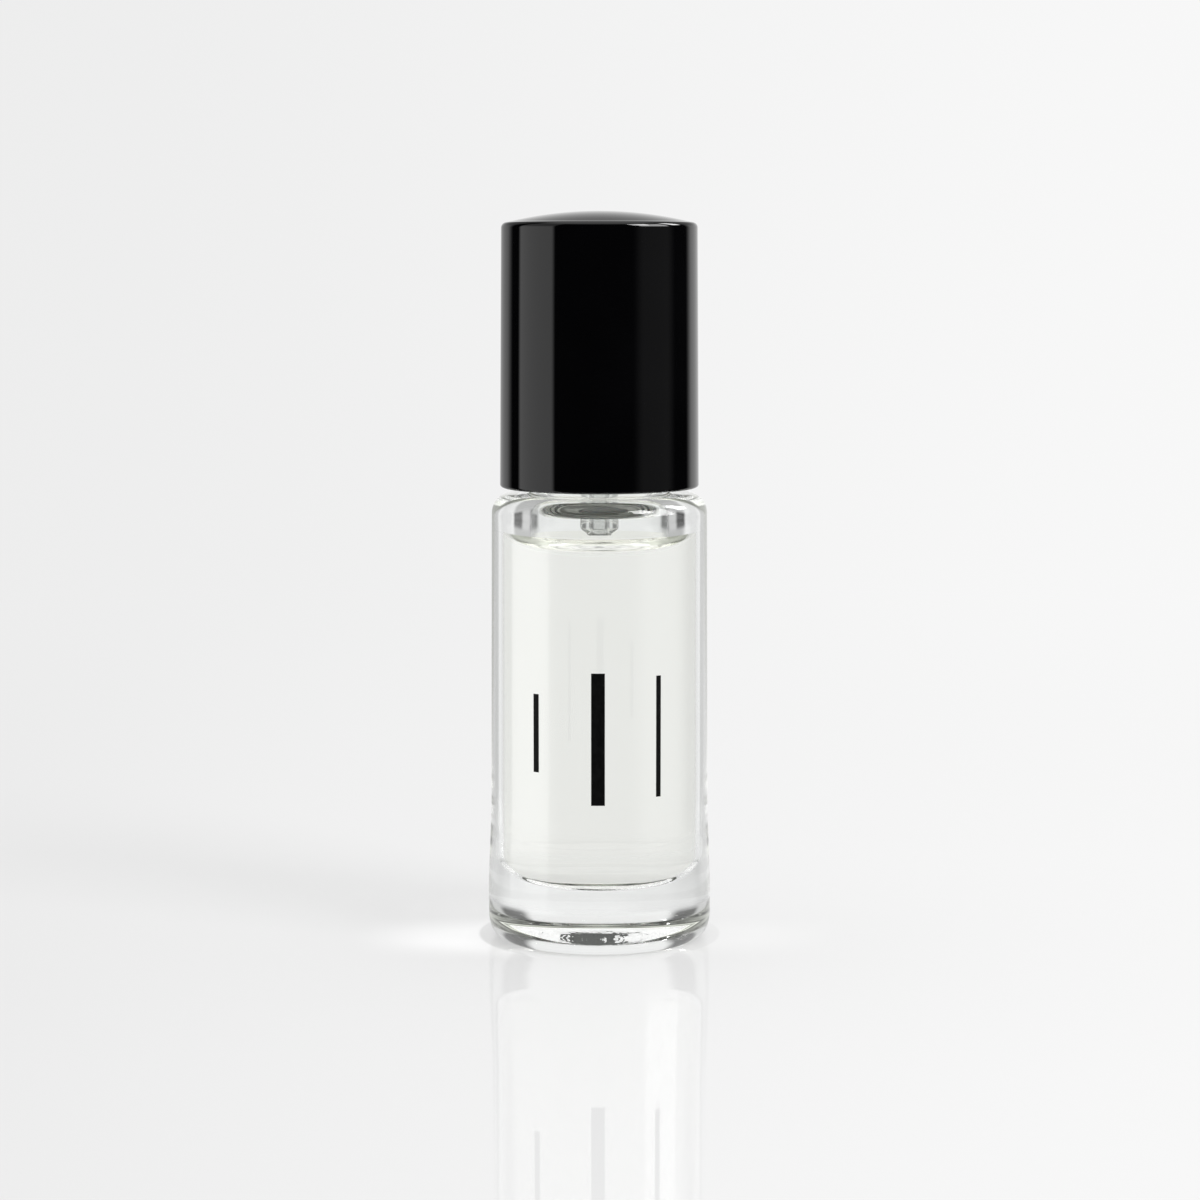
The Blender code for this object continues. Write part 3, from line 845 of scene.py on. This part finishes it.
def add_split(nodes, links, place):
    """X, Y and Z of a place."""
    split = nodes.new("ShaderNodeSeparateXYZ")
    links.new(place, split.inputs[0])
    return split.outputs


def add_distance(nodes, links, place):
    """How far a place is from the foot of the bottle's axis."""
    length = nodes.new("ShaderNodeVectorMath")
    length.operation = "LENGTH"
    links.new(place, length.inputs[0])
    return length.outputs["Value"]


def add_noise(nodes, links, place, scale, detail):
    """Soft random pattern between zero and one."""
    noise = nodes.new("ShaderNodeTexNoise")
    noise.inputs["Scale"].default_value = scale
    noise.inputs["Detail"].default_value = detail
    links.new(place, noise.inputs["Vector"])
    return noise.outputs["Fac"]


def add_math(nodes, links, operation, first, second=None):
    """Math node on a socket and a second socket or number."""
    node = nodes.new("ShaderNodeMath")
    node.operation = operation
    links.new(first, node.inputs[0])
    if second is not None:
        if isinstance(second, (int, float)):
            node.inputs[1].default_value = second
        else:
            links.new(second, node.inputs[1])
    return node.outputs[0]


def add_choice(nodes, links, switch, off, on):
    """The second value where the switch is one, else the first."""
    choice = nodes.new("ShaderNodeMix")
    links.new(switch, choice.inputs["Factor"])
    links.new(off, choice.inputs["A"])
    links.new(on, choice.inputs["B"])
    return choice.outputs["Result"]


def add_blend(nodes, links, share, under, over):
    """One shader laid over another by a share."""
    blend = nodes.new("ShaderNodeMixShader")
    links.new(share, blend.inputs["Fac"])
    links.new(under, blend.inputs[1])
    links.new(over, blend.inputs[2])
    return blend.outputs[0]


def add_colours(nodes, links, value, stops):
    """Colour that runs between stops, each a position and a colour."""
    ramp = nodes.new("ShaderNodeValToRGB")
    elements = ramp.color_ramp.elements
    elements.remove(elements[1])
    for number, (position, colour) in enumerate(stops):
        element = elements[0] if number == 0 else elements.new(position)
        element.position = position
        element.color = (*colour, 1.0)
    links.new(value, ramp.inputs["Fac"])
    return ramp.outputs["Color"]


def add_ramp(nodes, links, value, low, high, before, after):
    """Smooth change from one level at low to another at high."""
    ramp = nodes.new("ShaderNodeMapRange")
    ramp.interpolation_type = "SMOOTHSTEP"
    ramp.inputs["From Min"].default_value = low
    ramp.inputs["From Max"].default_value = high
    ramp.inputs["To Min"].default_value = before
    ramp.inputs["To Max"].default_value = after
    links.new(value, ramp.inputs["Value"])
    return ramp.outputs["Result"]


def add_window(nodes, links, value, low, high, soft):
    """One between low and high, zero outside, with soft edges."""
    rise = add_ramp(nodes, links, value, low - soft, low + soft, 0.0, 1.0)
    fall = add_ramp(nodes, links, value, high - soft, high + soft, 1.0, 0.0)
    return add_math(nodes, links, "MULTIPLY", rise, fall)


def add_sector(nodes, links, angle, left, right, soft):
    """One between two compass angles in degrees, zero outside, with soft edges."""
    return add_window(
        nodes, links, angle, math.radians(left), math.radians(right), math.radians(soft)
    )


def add_panels(nodes, links, angle, base, panels):
    """Sum of bright upright panels over a base level."""
    total = None
    for left, right, soft, level in panels:
        sector = add_sector(nodes, links, angle, left, right, soft)
        part = add_math(nodes, links, "MULTIPLY", sector, level)
        total = part if total is None else add_math(nodes, links, "ADD", total, part)
    return add_math(nodes, links, "ADD", total, base)


def fine_relief(nodes, links, shader, relief, detail=RELIEF_DETAIL):
    """Shallow uneven relief on Object coordinates, for a moulded or polished surface."""
    scale, height = relief
    noise = add_noise(nodes, links, object_place(nodes), scale, detail)
    bump = nodes.new("ShaderNodeBump")
    bump.inputs["Strength"].default_value = 1.0
    bump.inputs["Distance"].default_value = height
    links.new(noise, bump.inputs["Height"])
    links.new(bump.outputs["Normal"], shader.inputs["Normal"])
    return noise


def uneven_roughness(nodes, links, shader, noise, least, most):
    """Roughness that drifts a little with the relief."""
    spread = nodes.new("ShaderNodeMapRange")
    spread.inputs["To Min"].default_value = least
    spread.inputs["To Max"].default_value = most
    links.new(noise, spread.inputs["Value"])
    links.new(spread.outputs["Result"], shader.inputs["Roughness"])


def uneven_colour(nodes, links, shader, noise, tones):
    """Colour that drifts between two close tones."""
    colour = add_colours(nodes, links, noise, zip(TONE_SPREAD_SHARES, tones))
    links.new(colour, shader.inputs["Base Color"])


def paint_trapped_glow(material, nodes, links, shader):
    """Painted glow: light still inside after many bounces shows at a level set by height, less at
    the sides, not as black.
    """
    paths = nodes.new("ShaderNodeLightPath")
    fade = nodes.new("ShaderNodeMapRange")
    fade.inputs["From Min"].default_value = TRAPPED_FROM
    fade.inputs["From Max"].default_value = TRAPPED_TO
    links.new(paths.outputs["Glossy Depth"], fade.inputs["Value"])
    place = add_split(nodes, links, object_place(nodes))
    height = add_math(nodes, links, "DIVIDE", place["Z"], BODY_HEIGHT)
    greys = [(tone, tone, tone) for tone in TRAPPED_GLOW_LEVELS]
    level = add_colours(nodes, links, height, zip(TRAPPED_HEIGHT_SHARES, greys))
    # Painted shade: the glow falls off towards the left and right sides
    across = add_math(nodes, links, "DIVIDE", place["X"], BODY_RADIUS)
    aside = add_math(nodes, links, "MULTIPLY", across, across)
    side_shade = add_math(nodes, links, "MULTIPLY", aside, level)
    painted_glow = add_math(nodes, links, "SUBTRACT", level, side_shade)
    strength = add_math(nodes, links, "MULTIPLY", fade.outputs["Result"], painted_glow)
    links.new(strength, shader.inputs["Emission Strength"])
    shader.inputs["Emission Color"].default_value = (*TRAPPED_GLOW_TINT, 1.0)
    material.cycles.emission_sampling = "NONE"


def clear_finish(name, index, tones, relief):
    """Clear polished material whose colour drifts a little."""
    material, nodes, links, shader = new_finish(name)
    shader.inputs["Transmission Weight"].default_value = 1.0
    shader.inputs["Roughness"].default_value = 0.0
    shader.inputs["IOR"].default_value = index
    noise = fine_relief(nodes, links, shader, relief)
    uneven_colour(nodes, links, shader, noise, tones)
    return material, nodes, links, shader


def clear_glass_finish(name, index, tones, relief):
    """Flint glass, told apart by what lies on the other side of its surface."""
    finish = clear_finish(name, index, tones, relief)
    # Painted glow on the glass where light stays inside after many bounces
    paint_trapped_glow(*finish)
    return finish[0]


def oil_finish(name, tint):
    """Pale clear oil."""
    lighter = tuple(part + OIL_DRIFT for part in tint)
    return clear_finish(name, OIL_INDEX, (tint, lighter), OIL_RELIEF)[0]


def painted_shade_patches(nodes, links, dimples):
    """Painted shade: a dark ragged patch round the axis that breaks up into bright glass."""
    place = object_place(nodes)
    reach = add_math(nodes, links, "DIVIDE", add_distance(nodes, links, place), PATCH_RADIUS)
    patches = add_noise(nodes, links, place, PATCH_SCALE, PATCH_DETAIL)
    drift = add_math(nodes, links, "SUBTRACT", patches, dimples)
    ragged = add_math(nodes, links, "MULTIPLY", drift, PATCH_RAGGED)
    edge = add_math(nodes, links, "ADD", reach, ragged)
    fitted = add_math(nodes, links, "MULTIPLY", edge, PATCH_FIT_SHARE)
    return add_colours(nodes, links, fitted, zip(PATCH_EDGE_SHARES, STIPPLE_PAINTED_TONES))


def stippled_finish():
    """Stippled hollow under the base: fine dimples, with a painted dark shade patch and brighter
    glass that glows.
    """
    material, nodes, links, shader = new_finish("clear_glass_stippled_painted_shade")
    shader.inputs["Transmission Weight"].default_value = STIPPLE_CLEAR_SHARE
    shader.inputs["Roughness"].default_value = STIPPLE_ROUGHNESS
    shader.inputs["Specular IOR Level"].default_value = 0.0
    shader.inputs["IOR"].default_value = GLASS_INDEX
    dimples = fine_relief(nodes, links, shader, STIPPLE_RELIEF)
    colour = painted_shade_patches(nodes, links, dimples)
    links.new(colour, shader.inputs["Base Color"])
    # Painted glow: the glass glows in the patch colour, bright round the painted shade patch
    links.new(colour, shader.inputs["Emission Color"])
    shader.inputs["Emission Strength"].default_value = STIPPLE_PAINTED_GLOW
    material.cycles.emission_sampling = "NONE"
    return material


def moulded_finish(name, tones, roughness, relief, haze=0.0, gloss=PLAIN_GLOSS):
    """Moulded plastic or ink with a shallow relief and slightly uneven tone."""
    material, nodes, links, shader = new_finish(name)
    noise = fine_relief(nodes, links, shader, relief)
    uneven_colour(nodes, links, shader, noise, tones)
    uneven_roughness(nodes, links, shader, noise, *roughness)
    shader.inputs["Subsurface Weight"].default_value = haze
    shader.inputs["Subsurface Scale"].default_value = HAZE_DEPTH
    shader.inputs["Specular IOR Level"].default_value = gloss
    return material


def natural_finish():
    """Unpigmented polyethylene, milky but see-through where it is thin."""
    material, nodes, links, shader = new_finish("natural_polyethylene_clear")
    shader.inputs["Transmission Weight"].default_value = NATURAL_CLEAR_SHARE
    shader.inputs["IOR"].default_value = NATURAL_INDEX
    noise = fine_relief(nodes, links, shader, NATURAL_RELIEF)
    uneven_colour(nodes, links, shader, noise, NATURAL_TONES)
    uneven_roughness(nodes, links, shader, noise, *NATURAL_ROUGHNESS)
    # The housing gets the same painted glow
    paint_trapped_glow(material, nodes, links, shader)
    return material


def steel_finish():
    """Mirror-polished steel with a trace of handling haze."""
    material, nodes, links, shader = new_finish("polished_steel_ball")
    shader.inputs["Metallic"].default_value = 1.0
    noise = fine_relief(nodes, links, shader, STEEL_RELIEF, detail=STEEL_DETAIL)
    uneven_colour(nodes, links, shader, noise, STEEL_TONES)
    uneven_roughness(nodes, links, shader, noise, *STEEL_ROUGHNESS)
    return material


def give(piece, material, body, slot, *nodes):
    """One finish, one body, a record slot that is not used, and the nodes that the piece stands
    for.
    """
    piece.data.materials.clear()
    piece.data.materials.append(material)
    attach(piece, body)
    if nodes:
        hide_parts(*nodes)


def finish_glass(bottle):
    """Dry glass everywhere, but wetted glass where oil lies against it, and a stippled hollow."""
    dry = clear_glass_finish("clear_glass_dry", GLASS_INDEX, GLASS_TONES, GLASS_RELIEF)
    wetted_index = GLASS_INDEX / OIL_INDEX
    wetted = clear_glass_finish("clear_glass_wetted", wetted_index, WETTED_TONES, WETTED_RELIEF)
    give(bottle, dry, "bottle", "clear_glass", "glass_bottle")
    bottle.data.materials.append(wetted)
    bottle.data.materials.append(stippled_finish())
    for face in bottle.data.polygons:
        radius = math.hypot(face.center.x, face.center.y)
        inside_bore = radius < BORE_RADIUS + WELD
        if inside_bore and FLOOR_THICKNESS - WELD < face.center.z < OIL_TOP + MENISCUS_RISE:
            face.material_index = WETTED_PLACE
        elif radius < RING_INNER_RADIUS and face.center.z < PUSH_UP + WELD:
            face.material_index = STIPPLED_PLACE


def finish_oil(oil):
    """Oil's free surface against air, and its sides against the wetted glass."""
    surface = oil_finish("pale_oil_surface", OIL_SURFACE_TINT)
    give(oil, surface, "bottle", "pale_oil", "perfume_oil")
    against_glass = oil_finish("pale_oil_against_glass", OIL_TINT)
    against_glass.node_tree.nodes["Principled BSDF"].inputs["Alpha"].default_value = 0.0
    oil.data.materials.append(against_glass)
    for face in oil.data.polygons:
        radius = math.hypot(face.center.x, face.center.y)
        wall = radius > BORE_RADIUS - 2 * WETTING_GAP - WELD
        if face.normal.z < UPWARD_SHARE or (wall and face.center.z < OIL_TOP):
            face.material_index = AGAINST_GLASS_PLACE


def dress_cap():
    """Sealing disc, inner cap and outer cap with their moulded finishes."""
    soft = moulded_finish(
        "soft_white_disc", SOFT_TONES, SOFT_ROUGHNESS, SOFT_RELIEF, SOFT_HAZE_SHARE
    )
    give(make_cap_seal(), soft, "cap_carrier", "soft_white", "cap_seal")
    white = moulded_finish(
        "white_polypropylene_satin", WHITE_TONES, WHITE_ROUGHNESS, WHITE_RELIEF, WHITE_HAZE_SHARE
    )
    give(make_cap_liner(), white, "cap", "white_polypropylene", "cap_liner")
    black = moulded_finish("gloss_black_cap", BLACK_TONES, BLACK_ROUGHNESS, BLACK_RELIEF)
    give(make_cap_shell(), black, "cap", "gloss_black", "cap_shell")


def print_rules():
    """Plain ink rules on the front of the glass."""
    ink = moulded_finish("black_ink", INK_TONES, INK_ROUGHNESS, INK_RELIEF, gloss=INK_GLOSS)
    for number, (middle, width, lowest, highest) in enumerate(INK_RULES, start=1):
        rule = make_ink_rule(f"ink_rule_{number}", middle, width, lowest, highest)
        give(rule, ink, "bottle", "clear_glass")


def dress_bottle():
    """Make every piece, give it its finish and let it ride on its body."""
    finish_glass(make_glass_bottle())
    finish_oil(make_perfume_oil())
    housing = make_roller_housing()
    give(housing, natural_finish(), "bottle", "natural_polyethylene", "roller_housing")
    give(make_roller_ball(), steel_finish(), "ball", "polished_steel", "roller_ball")
    dress_cap()
    print_rules()


def paper_level(nodes, links, angle):
    """Level of the white paper behind, brighter to the right."""
    aside = add_math(nodes, links, "SINE", angle)
    return add_ramp(nodes, links, aside, *PAPER_SPAN)


def room_in_gloss(nodes, links, angle, height):
    """What gloss surfaces mirror: panels that fade upwards, and two softboxes."""
    panels = add_panels(nodes, links, angle, GLOSS_DARK, GLOSS_PANELS)
    fade = add_ramp(nodes, links, height, *GLOSS_FADE)
    seen = add_math(nodes, links, "MULTIPLY", panels, fade)
    for left, right, bottom, top, strength in SOFTBOXES:
        wide = add_sector(nodes, links, angle, left, right, SOFTBOX_SOFT)
        tall = add_window(nodes, links, height, bottom, top, SOFTBOX_SOFT_SHARE)
        box = add_math(nodes, links, "MULTIPLY", wide, tall)
        bright = add_math(nodes, links, "MULTIPLY", box, strength)
        seen = add_math(nodes, links, "ADD", seen, bright)
    return seen


def room_through_glass(nodes, links, angle, height):
    """What glass shows of the room: the table below the horizon and panels above it."""
    panels = add_panels(nodes, links, angle, GLASS_DARK, GLASS_PANELS)
    below = add_math(nodes, links, "MAXIMUM", panels, TABLE_SEEN_LEVEL)
    above = add_panels(nodes, links, angle, GLASS_DARK, ROOM_PANELS)
    rising = add_ramp(nodes, links, height, -HORIZON_SOFT_SHARE, HORIZON_SOFT_SHARE, 0.0, 1.0)
    return add_choice(nodes, links, rising, below, above)


def set_studio_world():
    """Plain pale room: white to the eye and for soft light, with panels for gloss and glass."""
    world = bpy.data.worlds.new("studio")
    bpy.context.scene.world = world
    world.use_nodes = True
    nodes = world.node_tree.nodes
    links = world.node_tree.links
    place = nodes.new("ShaderNodeTexCoord")
    direction = add_split(nodes, links, place.outputs["Generated"])
    angle = add_math(nodes, links, "ARCTAN2", direction["X"], direction["Y"])
    height = direction["Z"]
    gloss = room_in_gloss(nodes, links, angle, height)
    through = room_through_glass(nodes, links, angle, height)
    overhead = add_ramp(nodes, links, height, *OVERHEAD_SPAN)
    level = paper_level(nodes, links, angle)
    paths = nodes.new("ShaderNodeLightPath")
    for kind, seen in (("Is Glossy Ray", gloss), ("Is Transmission Ray", through)):
        lifted = add_math(nodes, links, "MAXIMUM", seen, overhead)
        level = add_choice(nodes, links, paths.outputs[kind], level, lifted)
    background = nodes["Background"]
    links.new(level, background.inputs["Strength"])
    background.inputs["Color"].default_value = (1.0, 1.0, 1.0, 1.0)


def painted_table_spill(nodes, links, place, distance):
    """Painted pool of light that the glass throws on the table beside it, mostly on the left."""
    rim = add_ramp(nodes, links, distance, *SPILL_RIM)
    rest = add_ramp(nodes, links, distance, *SPILL_REST)
    painted_spill = add_math(nodes, links, "MULTIPLY", rim, rest)
    for axis, span in (("Y", SPILL_FRONT), ("Y", SPILL_BACK), ("X", SPILL_ACROSS)):
        part = add_ramp(nodes, links, place[axis], *span)
        painted_spill = add_math(nodes, links, "MULTIPLY", painted_spill, part)
    return painted_spill


def table_glow(nodes, links, place, distance):
    """Glow of the table: the paper's level that it carries on, and the painted pool of light from
    the glass.
    """
    forward = add_math(nodes, links, "ADD", place["Y"], CAMERA_DISTANCE)
    angle = add_math(nodes, links, "ARCTAN2", place["X"], forward)
    paper = paper_level(nodes, links, angle)
    painted_spill = painted_table_spill(nodes, links, place, distance)
    level = add_math(nodes, links, "ADD", painted_spill, paper)
    glow = nodes.new("ShaderNodeEmission")
    links.new(level, glow.inputs["Strength"])
    return glow.outputs[0]


def table_finish():
    """Gloss white that turns into the paper far from the bottle."""
    material, nodes, links, shader = new_finish("gloss_white_table")
    shader.inputs["Base Color"].default_value = (TABLE_TONE, TABLE_TONE, TABLE_TONE, 1.0)
    shader.inputs["Roughness"].default_value = TABLE_ROUGHNESS
    shader.inputs["Specular IOR Level"].default_value = TABLE_GLOSS
    place = object_place(nodes)
    distance = add_distance(nodes, links, place)
    glow = table_glow(nodes, links, add_split(nodes, links, place), distance)
    far = add_ramp(nodes, links, distance, *TABLE_PAPER_SPAN)
    table = add_blend(nodes, links, far, shader.outputs[0], glow)
    beyond = add_ramp(nodes, links, distance, *TABLE_SEEN_SPAN)
    paths = nodes.new("ShaderNodeLightPath")
    unseen = add_math(nodes, links, "MULTIPLY", beyond, paths.outputs["Is Glossy Ray"])
    clear = nodes.new("ShaderNodeBsdfTransparent")
    ending = add_blend(nodes, links, unseen, table, clear.outputs[0])
    links.new(ending, nodes["Material Output"].inputs["Surface"])
    return material


def make_studio_floor():
    """Gloss white table under the bottle."""
    deselect()
    bpy.ops.mesh.primitive_plane_add(size=FLOOR_SIZE, location=(0.0, 0.0, -FLOOR_DROP))
    floor = bpy.context.object
    floor.name = "studio_floor"
    floor.data.materials.append(table_finish())


def set_key_light():
    """Soft lamp from the upper right."""
    lamp = bpy.data.lights.new("key", "AREA")
    lamp.shape = "RECTANGLE"
    lamp.size = KEY_SIZE
    lamp.size_y = KEY_SIZE
    lamp.energy = KEY_ENERGY
    key = bpy.data.objects.new("key", lamp)
    key.location = KEY_PLACE
    key.rotation_euler = (KEY_TILT, 0.0, KEY_TURN)
    bpy.context.scene.collection.objects.link(key)


def set_camera():
    """Camera a little below the cap's top, looking slightly down at the front."""
    lens = bpy.data.cameras.new("photo_view")
    lens.lens = CAMERA_LENS
    lens.sensor_width = CAMERA_SENSOR
    lens.clip_start = NEAREST_SEEN
    view = bpy.data.objects.new("photo_view", lens)
    view.location = (CAMERA_SIDE, -CAMERA_DISTANCE, CAMERA_HEIGHT)
    view.rotation_euler = (TURN / 4 - CAMERA_PITCH, 0.0, 0.0)
    bpy.context.scene.collection.objects.link(view)
    bpy.context.scene.camera = view


dress_bottle()
set_studio_world()
make_studio_floor()
set_key_light()
set_camera()
bpy.context.scene.view_settings.view_transform = "Standard"
